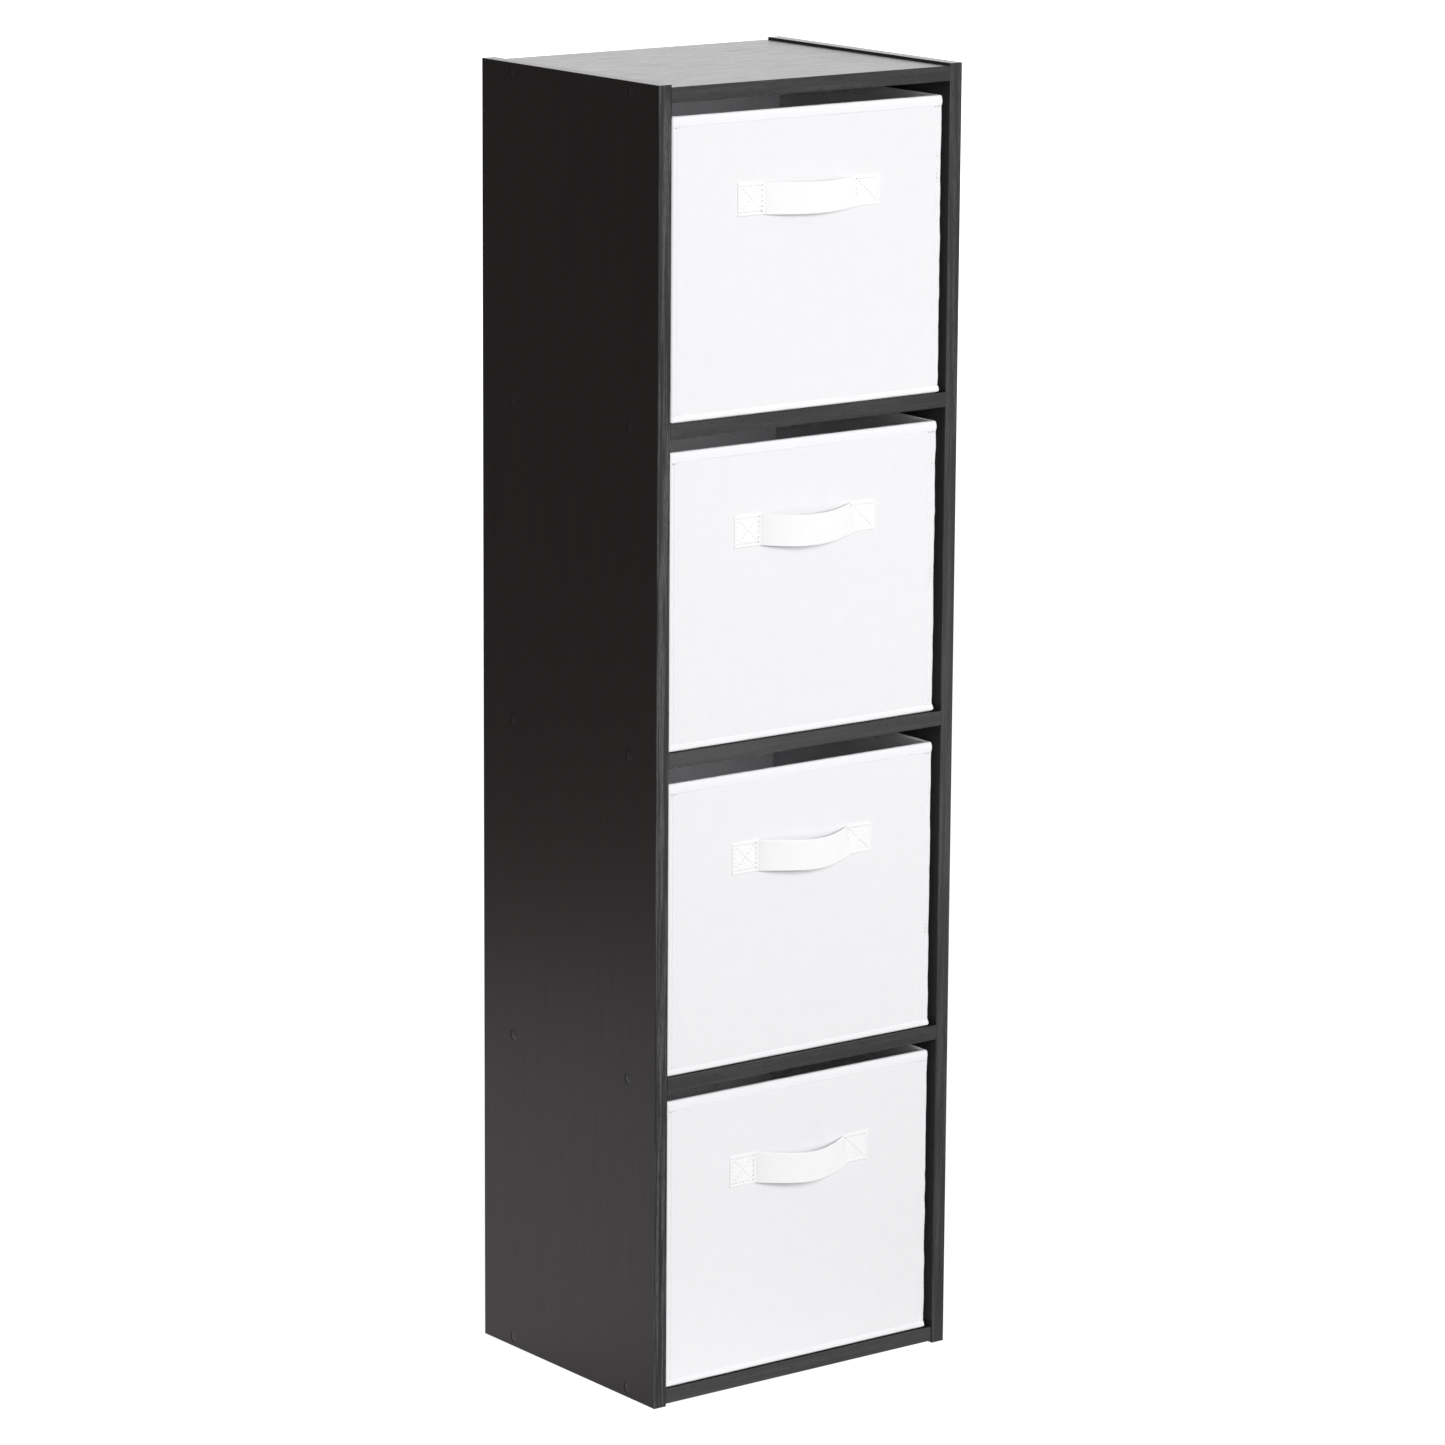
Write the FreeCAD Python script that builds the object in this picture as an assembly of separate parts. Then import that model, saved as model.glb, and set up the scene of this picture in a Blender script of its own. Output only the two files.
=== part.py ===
"""Four-cell cube storage tower with a collapsible fabric bin in each cell.

Frame: +X to the right seen from the front, +Y to the rear, +Z up, millimetres.
The origin is on the floor, under the centre of the whole object's bounding box.
Every sub-part is written to parts/NODE.step in this one frame, at rest, with the bins pushed in.
"""

import FreeCAD, Part
import math
import os

from FreeCAD import Vector

# ---- driving dimensions of the cabinet ----
HEIGHT = 1050.0
WIDTH = 295.0
DEPTH = 235.0
BOARD = 12.0            # particleboard thickness
LIP = 2.0               # side panels stand proud of the top and bottom panels
EDGE_BAND = 0.8         # banding on each front edge
BOTTOM_BAND_GAP = 1.4   # the bottom panel's banding stops this far short of the right side
EDGE_SOFTENING = 0.5    # radius of the banded edges and of the side panels' outer edges
CELLS = 4
LOWER_SHELF_DROP = 2.5   # the lower shelf is fixed this far below even spacing

BACK_THICKNESS = 3.0    # hardboard back, held in grooves
BACK_INSET = 10.0       # from the rear edges to the back's rear face
GROOVE_DEPTH = 4.0
GROOVE_PLAY = 0.1       # each side of the back in its groove

# ---- fasteners ----
SCREW_FRONT_SETBACK = 36.0
SCREW_REAR_SETBACK = 42.0
SCREW_SHANK_R = 2.0
SCREW_HEAD_R = 4.2
SCREW_HEAD_THICKNESS = 1.8
SCREW_LENGTH = 32.0     # under the head
SCREW_TIP = 4.0
HEX_RECESS_R = 1.5
HEX_RECESS_DEPTH = 1.4
PILOT_PLAY = 0.1
CAP_R = 4.5
CAP_THICKNESS = 1.4
CAP_RECESS = 0.15       # cap face below the panel face
CAP_DOME = 0.2
CAP_STEM_R = 1.1
CAP_STEM_LENGTH = 1.0
CAP_HOLE_PLAY = 0.1
DOWEL_R = 3.0
DOWEL_LENGTH = 30.0
DOWEL_IN_SIDE = 8.0
DOWEL_CHAMFER = 0.6
DOWEL_PLAY = 0.1

# ---- driving dimensions of the bins ----
BIN_WIDTH = 264.0       # over the bindings
BIN_DEPTH = 209.0
BIN_HEIGHT = 235.7
BIN_LEFT_GAP = 0.6      # the bins sit against the left side of their cells
BIN_FLOOR_GAP = 0.3
BIN_SETBACKS = {"bottom": 2.0, "lower": 2.0, "upper": 2.0, "top": 0.5}
FABRIC = 0.6            # one layer of cover fabric or binding
STIFFENER = 1.8         # board sewn into each wall
WALL = 2 * FABRIC + STIFFENER
CORNER_R = 2.0
POCKET_END = 3.0        # stitched fabric at the wall corners and at the fold line
POCKET_TOP = 1.2        # from the boards' top edges to the cover's rim
POCKET_BOTTOM = 2.0     # from the cover's underside to the boards' lower edges
RIM_BINDING_HEIGHT = 7.5
BASE_BINDING_HEIGHT = 5.5
BASE_BOARD = 2.4
BASE_PLAY = 0.6         # round the loose base board

# ---- webbing handle ----
STRAP_WIDTH = 25.0
STRAP_THICKNESS = 1.5
STRAP_SPAN = 139.0      # over both sewn patches
STRAP_LOOP = 89.0       # free length between the patches, along the bin face
STRAP_BULGE = 12.0      # hand room behind the middle of the loop
STRAP_DROP = 56.0       # from the rim to the strap's upper edge

# ---- derived positions ----
STRAP_PROUD = STRAP_BULGE + STRAP_THICKNESS - FABRIC - min(BIN_SETBACKS.values())
FRONT = (STRAP_PROUD - DEPTH) / 2
REAR = FRONT + DEPTH
INNER_HALF = WIDTH / 2 - BOARD
CELL_HEIGHT = (HEIGHT - 2 * LIP - (CELLS + 1) * BOARD) / CELLS
PITCH = CELL_HEIGHT + BOARD
BACK_FRONT = REAR - BACK_INSET - BACK_THICKNESS
SCREW_HEAD_SEAT = CAP_RECESS + CAP_THICKNESS + SCREW_HEAD_THICKNESS
SCREW_YS = (FRONT + SCREW_FRONT_SETBACK, REAR - SCREW_REAR_SETBACK)
DOWEL_Y = (SCREW_YS[0] + SCREW_YS[1]) / 2
SIDES = {"left": -1, "right": 1}
HORIZONTALS = ("bottom", "lower_shelf", "middle_shelf", "upper_shelf", "top")


def box(x, y, z):
    """A box from three (low, high) pairs."""
    return Part.makeBox(x[1] - x[0], y[1] - y[0], z[1] - z[0], Vector(x[0], y[0], z[0]))


def edges_along(shape, direction, where):
    """The straight edges that run along a direction and whose midpoint passes a test."""
    found = []
    for edge in shape.Edges:
        start, end = edge.Vertexes[0].Point, edge.Vertexes[-1].Point
        run = end - start
        if run.Length > 0 and abs(run.normalize().dot(direction)) > 0.999 and where((start + end) * 0.5):
            found.append(edge)
    return found


def rod_x(radius, x_start, x_end, y, z):
    """A cylinder along X between two X positions given in either order."""
    low = min(x_start, x_end)
    return Part.makeCylinder(radius, abs(x_end - x_start), Vector(low, y, z), Vector(1, 0, 0))


def turned_x(profile, x_face, inward, y, z):
    """A solid turned about an axis along X. The profile lists (depth below the face, radius)."""
    points = [Vector(x_face + inward * depth, y, z + radius) for depth, radius in profile]
    face = Part.Face(Part.makePolygon(points + points[:1]))
    return face.revolve(Vector(0, y, z), Vector(1, 0, 0), 360)


def write(name, *solids):
    """One node: a single solid, or a group of separate ones."""
    for solid in solids:
        if not solid.isValid() or len(solid.Solids) != 1:
            raise RuntimeError(name + ": not one valid solid")
    shape = solids[0].Solids[0] if len(solids) == 1 else Part.makeCompound([s.Solids[0] for s in solids])
    shape.exportStep(os.path.join("parts", name + ".step"))


# ---- cabinet ----

def row_bottom(row):
    """Underside of a horizontal, counted from the bottom panel."""
    drop = LOWER_SHELF_DROP if HORIZONTALS[row] == "lower_shelf" else 0.0
    return LIP + row * PITCH - drop


def joint_points():
    """(row, y) of every screw in one side panel."""
    return [(row, y) for row in range(CELLS + 1) for y in SCREW_YS]


def row_middle(row):
    return row_bottom(row) + BOARD / 2


def back_groove():
    """The space cut out of the sides, top and bottom for the back."""
    half = INNER_HALF + GROOVE_DEPTH
    y_range = (BACK_FRONT - GROOVE_PLAY, BACK_FRONT + BACK_THICKNESS + GROOVE_PLAY)
    z_range = (row_bottom(0) + BOARD - GROOVE_DEPTH, row_bottom(CELLS) + GROOVE_DEPTH)
    return box((-half, half), y_range, z_range)


def side_panel(side):
    sign = SIDES[side]
    outer, inner = sign * WIDTH / 2, sign * INNER_HALF
    panel = box(sorted((outer, inner)), (FRONT + EDGE_BAND, REAR), (0, HEIGHT))
    outer_edges = edges_along(panel, Vector(0, 1, 0), lambda p: abs(p.x - outer) < 0.01)
    outer_edges += edges_along(panel, Vector(0, 0, 1), lambda p: abs(p.x - outer) < 0.01 and p.y > 0)
    panel = panel.makeFillet(EDGE_SOFTENING, outer_edges)
    for row, y in joint_points():
        z = row_middle(row)
        head_hole = rod_x(CAP_R + CAP_HOLE_PLAY, outer + sign, outer - sign * SCREW_HEAD_SEAT, y, z)
        shank_hole = rod_x(SCREW_SHANK_R + PILOT_PLAY, outer, inner - sign, y, z)
        panel = panel.cut(head_hole.fuse(shank_hole))
    for row in range(CELLS + 1):
        hole = rod_x(DOWEL_R + DOWEL_PLAY, inner - sign, inner + sign * DOWEL_IN_SIDE, DOWEL_Y, row_middle(row))
        panel = panel.cut(hole)
    return panel.cut(back_groove())


def horizontal_rear(name):
    """The top and bottom run to the rear edges; the shelves stop at the back."""
    return REAR if name in ("top", "bottom") else BACK_FRONT


def horizontal_panel(row, name):
    z_range = (row_bottom(row), row_bottom(row) + BOARD)
    panel = box((-INNER_HALF, INNER_HALF), (FRONT + EDGE_BAND, horizontal_rear(name)), z_range)
    for sign in SIDES.values():
        end = sign * INNER_HALF
        in_panel = SCREW_LENGTH - (BOARD - SCREW_HEAD_SEAT)
        for y in SCREW_YS:
            hole = rod_x(SCREW_SHANK_R + PILOT_PLAY, end + sign, end - sign * (in_panel + 1), y, row_middle(row))
            panel = panel.cut(hole)
        dowel_depth = DOWEL_LENGTH - DOWEL_IN_SIDE
        hole = rod_x(DOWEL_R + DOWEL_PLAY, end + sign, end - sign * dowel_depth, DOWEL_Y, row_middle(row))
        panel = panel.cut(hole)
    return panel.cut(back_groove()) if name in ("top", "bottom") else panel


def edge_band(x_range, z_range, along):
    """A strip on a front edge, with its two long front edges softened."""
    band = box(x_range, (FRONT, FRONT + EDGE_BAND), z_range)
    front_edges = edges_along(band, along, lambda p: abs(p.y - FRONT) < 0.01)
    return band.makeFillet(EDGE_SOFTENING, front_edges)


def back_panel():
    half = INNER_HALF + GROOVE_DEPTH - GROOVE_PLAY
    z_low = row_bottom(0) + BOARD - GROOVE_DEPTH
    z_high = row_bottom(CELLS) + GROOVE_DEPTH
    y_range = (BACK_FRONT, BACK_FRONT + BACK_THICKNESS)
    return box((-half, half), y_range, (z_low + GROOVE_PLAY, z_high - GROOVE_PLAY))


def screw(sign, y, z):
    """Flat-headed screw through a side panel into the end of a horizontal."""
    head_top = SCREW_HEAD_SEAT - SCREW_HEAD_THICKNESS
    end = SCREW_HEAD_SEAT + SCREW_LENGTH
    profile = [
        (head_top, 0),
        (head_top, SCREW_HEAD_R),
        (SCREW_HEAD_SEAT, SCREW_HEAD_R),
        (SCREW_HEAD_SEAT, SCREW_SHANK_R),
        (end - SCREW_TIP, SCREW_SHANK_R),
        (end, 0),
    ]
    face = sign * WIDTH / 2
    solid = turned_x(profile, face, -sign, y, z)
    corners = []
    for corner in range(7):
        angle = corner * math.pi / 3
        corners.append(Vector(face - sign * head_top, y + HEX_RECESS_R * math.cos(angle),
                              z + HEX_RECESS_R * math.sin(angle)))
    recess = Part.Face(Part.makePolygon(corners)).extrude(Vector(-sign * HEX_RECESS_DEPTH, 0, 0))
    return solid.cut(recess)


def screw_cap(sign, y, z):
    """Domed push-in cap whose stem goes into the screw's hex recess."""
    top, bottom = CAP_RECESS, CAP_RECESS + CAP_THICKNESS
    profile = [
        (top, 0),
        (top + CAP_DOME / 4, CAP_R / 2),
        (top + CAP_DOME, CAP_R),
        (bottom, CAP_R),
        (bottom, CAP_STEM_R),
        (bottom + CAP_STEM_LENGTH, CAP_STEM_R),
        (bottom + CAP_STEM_LENGTH, 0),
    ]
    return turned_x(profile, sign * WIDTH / 2, -sign, y, z)


def dowel(sign, z):
    start = -DOWEL_IN_SIDE
    end = DOWEL_LENGTH - DOWEL_IN_SIDE
    profile = [
        (start, 0),
        (start, DOWEL_R - DOWEL_CHAMFER),
        (start + DOWEL_CHAMFER, DOWEL_R),
        (end - DOWEL_CHAMFER, DOWEL_R),
        (end, DOWEL_R - DOWEL_CHAMFER),
        (end, 0),
    ]
    return turned_x(profile, sign * INNER_HALF, -sign, DOWEL_Y, z)


def write_cabinet():
    for side, sign in SIDES.items():
        write(side + "_side_panel", side_panel(side))
        band_x = sorted((sign * WIDTH / 2, sign * INNER_HALF))
        write(side + "_side_edge_band", edge_band(band_x, (0, HEIGHT), Vector(0, 0, 1)))
        write(side + "_screws", *[screw(sign, y, row_middle(row)) for row, y in joint_points()])
        write(side + "_screw_caps", *[screw_cap(sign, y, row_middle(row)) for row, y in joint_points()])
        write(side + "_dowels", *[dowel(sign, row_middle(row)) for row in range(CELLS + 1)])
    for row, name in enumerate(HORIZONTALS):
        node = name if name.endswith("shelf") else name + "_panel"
        write(node, horizontal_panel(row, name))
        z_range = (row_bottom(row), row_bottom(row) + BOARD)
        right_gap = BOTTOM_BAND_GAP if name == "bottom" else 0.0
        write(name + "_edge_band", edge_band((-INNER_HALF, INNER_HALF - right_gap), z_range, Vector(1, 0, 0)))
    write("back_panel", back_panel())


# ---- one fabric bin ----

def rounded_prism(x, y, z, radius):
    """A box with rounded vertical edges."""
    prism = box(x, y, z)
    return prism.makeFillet(radius, edges_along(prism, Vector(0, 0, 1), lambda p: True))


def grown(span, amount):
    return (span[0] - amount, span[1] + amount)


class Bin:
    """Positions of one bin, from its place in the tower."""

    def __init__(self, row, name):
        left = -INNER_HALF + BIN_LEFT_GAP
        front = FRONT + BIN_SETBACKS[name]
        base = row_bottom(row) + BOARD + BIN_FLOOR_GAP
        self.name = name + "_bin"
        self.outer_x = grown((left, left + BIN_WIDTH), -FABRIC)
        self.outer_y = grown((front, front + BIN_DEPTH), -FABRIC)
        self.inner_x = grown(self.outer_x, -WALL)
        self.inner_y = grown(self.outer_y, -WALL)
        self.base = base
        self.rim = base + BIN_HEIGHT
        self.cover_top = self.rim - FABRIC
        self.pocket_z = (base + POCKET_BOTTOM, self.cover_top - POCKET_TOP)

    def front_board(self):
        y = (self.outer_y[0] + FABRIC, self.outer_y[0] + FABRIC + STIFFENER)
        return box(grown(self.outer_x, -POCKET_END), y, self.pocket_z)

    def rear_board(self):
        y = (self.outer_y[1] - FABRIC - STIFFENER, self.outer_y[1] - FABRIC)
        return box(grown(self.outer_x, -POCKET_END), y, self.pocket_z)

    def side_boards(self, side):
        """Two half boards, with the fold line between them."""
        if side == "left":
            x = (self.outer_x[0] + FABRIC, self.outer_x[0] + FABRIC + STIFFENER)
        else:
            x = (self.outer_x[1] - FABRIC - STIFFENER, self.outer_x[1] - FABRIC)
        fold = (self.outer_y[0] + self.outer_y[1]) / 2
        front_half = (self.outer_y[0] + POCKET_END, fold - POCKET_END / 2)
        rear_half = (fold + POCKET_END / 2, self.outer_y[1] - POCKET_END)
        return [box(x, half, self.pocket_z) for half in (front_half, rear_half)]

    def cover(self):
        """The sewn cover: a floor, and walls of two layers with a pocket for each board."""
        cover = rounded_prism(self.outer_x, self.outer_y, (self.base, self.cover_top), CORNER_R)
        cover = cover.cut(box(self.inner_x, self.inner_y, (self.base + FABRIC, self.rim)))
        boards = [self.front_board(), self.rear_board()]
        boards += self.side_boards("left") + self.side_boards("right")
        for board in boards:
            lid = board.BoundBox
            pocket = box((lid.XMin, lid.XMax), (lid.YMin, lid.YMax), (lid.ZMin, self.rim))
            cover = cover.cut(pocket)
        return cover

    def rim_binding(self):
        """Tape folded over the rim, down both faces of the walls."""
        z = (self.rim - RIM_BINDING_HEIGHT, self.rim)
        tape = rounded_prism(grown(self.outer_x, FABRIC), grown(self.outer_y, FABRIC), z, CORNER_R + FABRIC)
        tape = tape.cut(box(grown(self.inner_x, -FABRIC), grown(self.inner_y, -FABRIC), grown(z, 1)))
        walls = rounded_prism(self.outer_x, self.outer_y, (z[0] - 1, self.cover_top), CORNER_R)
        walls = walls.cut(box(self.inner_x, self.inner_y, grown(z, 2)))
        return tape.cut(walls)

    def base_binding(self):
        """Tape round the foot of the walls."""
        z = (self.base, self.base + BASE_BINDING_HEIGHT)
        tape = rounded_prism(grown(self.outer_x, FABRIC), grown(self.outer_y, FABRIC), z, CORNER_R + FABRIC)
        return tape.cut(rounded_prism(self.outer_x, self.outer_y, grown(z, 1), CORNER_R))

    def base_board(self):
        z_low = self.base + FABRIC
        return box(grown(self.inner_x, -BASE_PLAY), grown(self.inner_y, -BASE_PLAY), (z_low, z_low + BASE_BOARD))

    def handle(self):
        """Webbing strap: two flat sewn patches joined by a loop that stands off the face."""
        middle = (self.outer_x[0] + self.outer_x[1]) / 2
        face = self.outer_y[0]
        half_loop, half_span = STRAP_LOOP / 2, STRAP_SPAN / 2
        inner_r = (half_loop ** 2 + STRAP_BULGE ** 2) / (2 * STRAP_BULGE)
        outer_r = inner_r + STRAP_THICKNESS
        centre_out = inner_r - STRAP_BULGE
        outer_half = math.sqrt(outer_r ** 2 - (centre_out + STRAP_THICKNESS) ** 2)
        z_low = self.rim - STRAP_DROP - STRAP_WIDTH

        def point(x, out):
            return Vector(middle + x, face - out, z_low)

        outer_face, bulge = STRAP_THICKNESS, STRAP_BULGE
        edges = [
            Part.LineSegment(point(-half_span, 0), point(-half_loop, 0)),
            Part.Arc(point(-half_loop, 0), point(0, bulge), point(half_loop, 0)),
            Part.LineSegment(point(half_loop, 0), point(half_span, 0)),
            Part.LineSegment(point(half_span, 0), point(half_span, outer_face)),
            Part.LineSegment(point(half_span, outer_face), point(outer_half, outer_face)),
            Part.Arc(point(outer_half, outer_face), point(0, bulge + outer_face), point(-outer_half, outer_face)),
            Part.LineSegment(point(-outer_half, outer_face), point(-half_span, outer_face)),
            Part.LineSegment(point(-half_span, outer_face), point(-half_span, 0)),
        ]
        outline = Part.Wire([edge.toShape() for edge in edges])
        return Part.Face(outline).extrude(Vector(0, 0, STRAP_WIDTH))

    def write(self):
        write(self.name + "_cover", self.cover())
        write(self.name + "_rim_binding", self.rim_binding())
        write(self.name + "_base_binding", self.base_binding())
        write(self.name + "_front_board", self.front_board())
        write(self.name + "_rear_board", self.rear_board())
        write(self.name + "_left_boards", *self.side_boards("left"))
        write(self.name + "_right_boards", *self.side_boards("right"))
        write(self.name + "_base_board", self.base_board())
        write(self.name + "_handle", self.handle())


def main():
    os.makedirs("parts", exist_ok=True)
    write_cabinet()
    for row, name in enumerate(BIN_SETBACKS):
        Bin(row, name).write()


main()
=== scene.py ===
"""Looks of the cube storage tower: laminated cabinet, sewn fabric bins, floor, light and camera.

Metres, in the CAD frame: +X right seen from the front, +Y to the rear, +Z up.
"""

import math

import bmesh
import bpy
from mathutils import Matrix, Vector, noise


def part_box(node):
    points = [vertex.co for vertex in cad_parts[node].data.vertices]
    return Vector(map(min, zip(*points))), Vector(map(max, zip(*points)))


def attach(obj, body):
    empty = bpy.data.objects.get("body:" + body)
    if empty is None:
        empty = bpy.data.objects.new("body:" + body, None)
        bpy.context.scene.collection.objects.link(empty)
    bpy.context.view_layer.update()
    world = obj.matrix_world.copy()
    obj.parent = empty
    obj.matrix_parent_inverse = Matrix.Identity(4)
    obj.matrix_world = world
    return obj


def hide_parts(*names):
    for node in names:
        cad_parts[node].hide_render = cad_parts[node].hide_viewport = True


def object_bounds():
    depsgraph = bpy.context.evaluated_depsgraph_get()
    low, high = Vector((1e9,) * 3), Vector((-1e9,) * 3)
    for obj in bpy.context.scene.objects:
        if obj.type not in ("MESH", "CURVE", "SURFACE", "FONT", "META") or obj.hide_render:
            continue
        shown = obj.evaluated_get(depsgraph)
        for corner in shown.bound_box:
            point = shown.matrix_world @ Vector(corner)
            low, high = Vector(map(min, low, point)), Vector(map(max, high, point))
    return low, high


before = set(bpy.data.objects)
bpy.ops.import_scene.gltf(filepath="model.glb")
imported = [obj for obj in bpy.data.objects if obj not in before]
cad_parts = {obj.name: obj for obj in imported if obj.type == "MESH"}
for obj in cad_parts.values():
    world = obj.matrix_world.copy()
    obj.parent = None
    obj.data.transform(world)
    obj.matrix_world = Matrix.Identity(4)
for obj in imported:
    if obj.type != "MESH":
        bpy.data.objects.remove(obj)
cad_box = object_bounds()

MM = 0.001
BINS = ("bottom", "lower", "upper", "top")
FIRST_SEED, SEED_STEP = 11.3, 7.7  # of the bins' noise

# ---- how the bins are sewn, in metres ----
WALL = 3.0 * MM             # two layers of fabric over a board
CORNER_R = 1.8 * MM
CORNER_ARC = 0.4 * CORNER_R  # the part of a corner's arc that counts as distance from it
INNER_CORNER_R = 1.0 * MM
RIM_DROP = 0.7 * MM         # the cover's rim, under the tape folded over it
FLOOR_THICKNESS = 0.6 * MM
TAPE_PROUD = 0.55 * MM      # rim and base tape, beyond the wall's face
TAPE_LAP = 0.12 * MM        # the tapes' edges, pulled down into the wall's cloth
RIM_TAPE_HEIGHT = 9.2 * MM
BASE_TAPE_HEIGHT = 5.8 * MM
FOOT_LIFT = 1.1 * MM        # the base tape's lower edge turns in this far above the shelf
SEAM_DISTANCE = 2.7 * MM    # from a corner to the stitched valley beside it
SEAM_DEPTH = 0.52 * MM
RIDGE = 0.35 * MM           # the seam's turned edge, at the corner itself
SOFTNESS = 0.26 * MM        # slow waviness of the cloth on its boards
PUCKER = 0.16 * MM          # tiny gathers beside the tapes
PUCKER_REACH = 3.5 * MM
FULL_FROM = 8.0 * MM        # the walls stand out fully from here on, away from the corners
FACE_CROWN = 0.5 * MM       # fullness of each face between its corners
CREPE = 0.08 * MM           # fine unevenness all over
EDGE_DRIFT = 0.6 * MM       # wandering of the front right corner's edge
INNER_SAG = 0.25 * MM       # the lining stands up to this far off its boards
LINING_SLACK = 0.5 * MM     # faces this close outside the inner walls are still lining, with its painted light
FOOT_INSET = 1.4 * MM       # the cover turns in under its foot, out of sight
FOOT_TURN = 2.2 * MM        # the height over which it does
CORNER_FULLNESS = 0.6 * MM  # extra of both tapes where they turn the front right corner
CORNER_REACH = 4.0 * MM     # how far round that corner this and the drift can be seen
RIM_STITCHES = 1.5 * MM     # above the rim tape's lower edge
BASE_STITCHES = 1.4 * MM    # below the base tape's upper edge
STITCH_SINK = 0.05 * MM     # a tape's stitches, into its full thickness
SEAM_MARGIN = 1.0 * MM      # between a seam's stitches and the tapes
THREAD_R = 0.22 * MM
STITCH_LENGTH = 2.6 * MM
STITCH_PITCH = 3.4 * MM

# the rolls of cloth beside a corner seam: how far out, how far from the corner, how wide
SEAM_ROLLS = (
    (-SEAM_DEPTH, SEAM_DISTANCE, 0.75 * MM),
    (0.5 * SEAM_DEPTH, SEAM_DISTANCE + 1.6 * MM, 0.7 * MM),
    (-0.6 * SEAM_DEPTH, SEAM_DISTANCE + 3.2 * MM, 0.8 * MM),
    (RIDGE, 0.4 * MM, 0.9 * MM),
)
# the same for the crease where a side wall folds between its two boards
FOLD_ROLLS = ((-0.95 * MM, 0.0, 1.1 * MM), (0.25 * MM, 3.2 * MM, 1.3 * MM))

# ---- the floors of the covers, and the loose base inserts ----
FLOOR_SHARES = (0.97,)      # a floor's rings, as shares of the way out to its edge
CROWN_SHARES = (0.97, 0.85, 0.65, 0.4, 0.15)
BASE_CROWN = 0.4 * MM       # the base insert's cloth is fullest at its middle
INSERT_CORNER_R = 4.0 * MM
# how far in and how far up or down from its edges the insert's cloth turns
INSERT_TURNS = ((0.9 * MM, 0.0), (0.2 * MM, 0.5 * MM))

# ---- webbing handle ----
STRAP_LAYER = 0.95 * MM
END_ROUNDING = 1.3 * MM
PATCH = 25.0 * MM
PATCH_FOLD = 4.0 * MM       # the strap's end is turned under, so it is thicker
FOLD_THICKNESS = 0.2 * MM
FOLD_SLOPE = 0.6 * MM       # over which the strap's face rises to that
THIN_END = 0.12             # share of the thickness left at the strap's very end
EDGE_ROLL = 0.6 * MM
WEBBING_WAVE = 0.10 * MM    # slow unevenness of the webbing's face
STRAP_SEAT = 0.15 * MM      # the inner face of the sewn patches, off the bin's face
BOX_INSET = 2.8 * MM
STEEPNESS = 0.78            # under 1, the loop leaves its patches steeply
STAND_LEAN = 0.95           # under 1, the loop stands off most left of its middle
LIT_END = 16.0 * MM         # near its right end the loop's back keeps the front's cloth, without the painted shade
FOLD_SLANT = 6.0 * MM       # the loop's right end starts this much further out at its lower edge
WIDTH_TAPER = 0.045         # the webbing is pulled wider at its left end than at its right
# how far each loop stands off, how far it sags, how far its lowest point leans to the right (1 is
# not at all), and how far the left end sits above the right
STRAP_SHAPES = {
    "bottom": (11.0 * MM, 5.2 * MM, 1.35, 0.6 * MM),
    "lower": (10.5 * MM, 4.2 * MM, 1.5, 0.4 * MM),
    "upper": (11.0 * MM, 3.6 * MM, 1.12, 0.2 * MM),
    "top": (7.8 * MM, 1.7 * MM, 1.2, 1.4 * MM),
}
HOLE_PITCH = 3.9 * MM       # needle holes of the bar at each patch's inner edge
HOLE_DEPTH = 0.5 * MM
HOLE_RADIUS = 0.60 * MM
SMALL_HOLE_RADIUS = 0.30 * MM
BAR_OFFSET = 1.3 * MM       # the bar, from the patch's inner edge
CHANNEL_DEPTH = 0.08 * MM   # a sewn line in the webbing
CHANNEL_WIDTH = 0.7 * MM
STITCH_DIP = 0.42 * MM      # deeper at each needle hole on the line
STRAP_ROWS = 52             # points across the strap's outer face
PATCH_STEPS, LOOP_STEPS = 50, 64
THREAD_SINK = 0.10 * MM     # the strap's threads and holes, into its face
SEWN_FLAT = 0.3 * MM        # a line is stitched where the strap stands off less than this
BARRED_FLAT = 1.0 * MM      # and the bar's holes show where it stands off less than this

# ---- camera: metres and radians, in the CAD frame but for its distance from the front ----
CAMERA_RIGHT = -2.8204
CAMERA_FROM_FRONT = 3.6258
CAMERA_HEIGHT = 1.5575
CAMERA_YAW = 0.646539
CAMERA_PITCH = 0.218346
CAMERA_ROLL = 0.006505
CAMERA_LENS_MM = 148.784

# ---- the room: the bearing of its bright wall, and how bright everything is ----
REAR_WALL = (math.sin(CAMERA_YAW), math.cos(CAMERA_YAW), 0)
REAR_GLOW = 1.42
FLOOR_GLOW = 0.9
FLOOR_OPACITY = 0.8
FLOOR_RADIUS = 1.03
FLOOR_CENTRE = (-0.46, 0.47)
FLOOR_FADE = 0.45           # share of the radius where the floor starts to fade out
ROOM_LOW = 0.16             # near the horizon
ROOM_HIGH = 0.3             # overhead
CAMERA_WHITE = 1.1          # what the camera sees behind everything
WALL_HALF_ANGLE = 36        # of the bright wall, in degrees
WALL_LOW, WALL_HIGH, WALL_SOFT = -0.12, 0.5, 0.25

# name: place, aim, size, watts and spread in degrees
LIGHTS = {
    "key": ((0.1, -3.35, 1.68), (0, 0, 0.86), (3.0, 1.6), 34.6, 95),
    "low_fill": ((0.45, -1.3, 0.25), (0.05, 0, 0.25), (1.0, 0.4), 1.0, 120),
    "overhead": ((-0.4, 0.2, 3.4), (-0.3, 0.1, 0), (3.0, 3.0), 16, 180),
}

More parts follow.
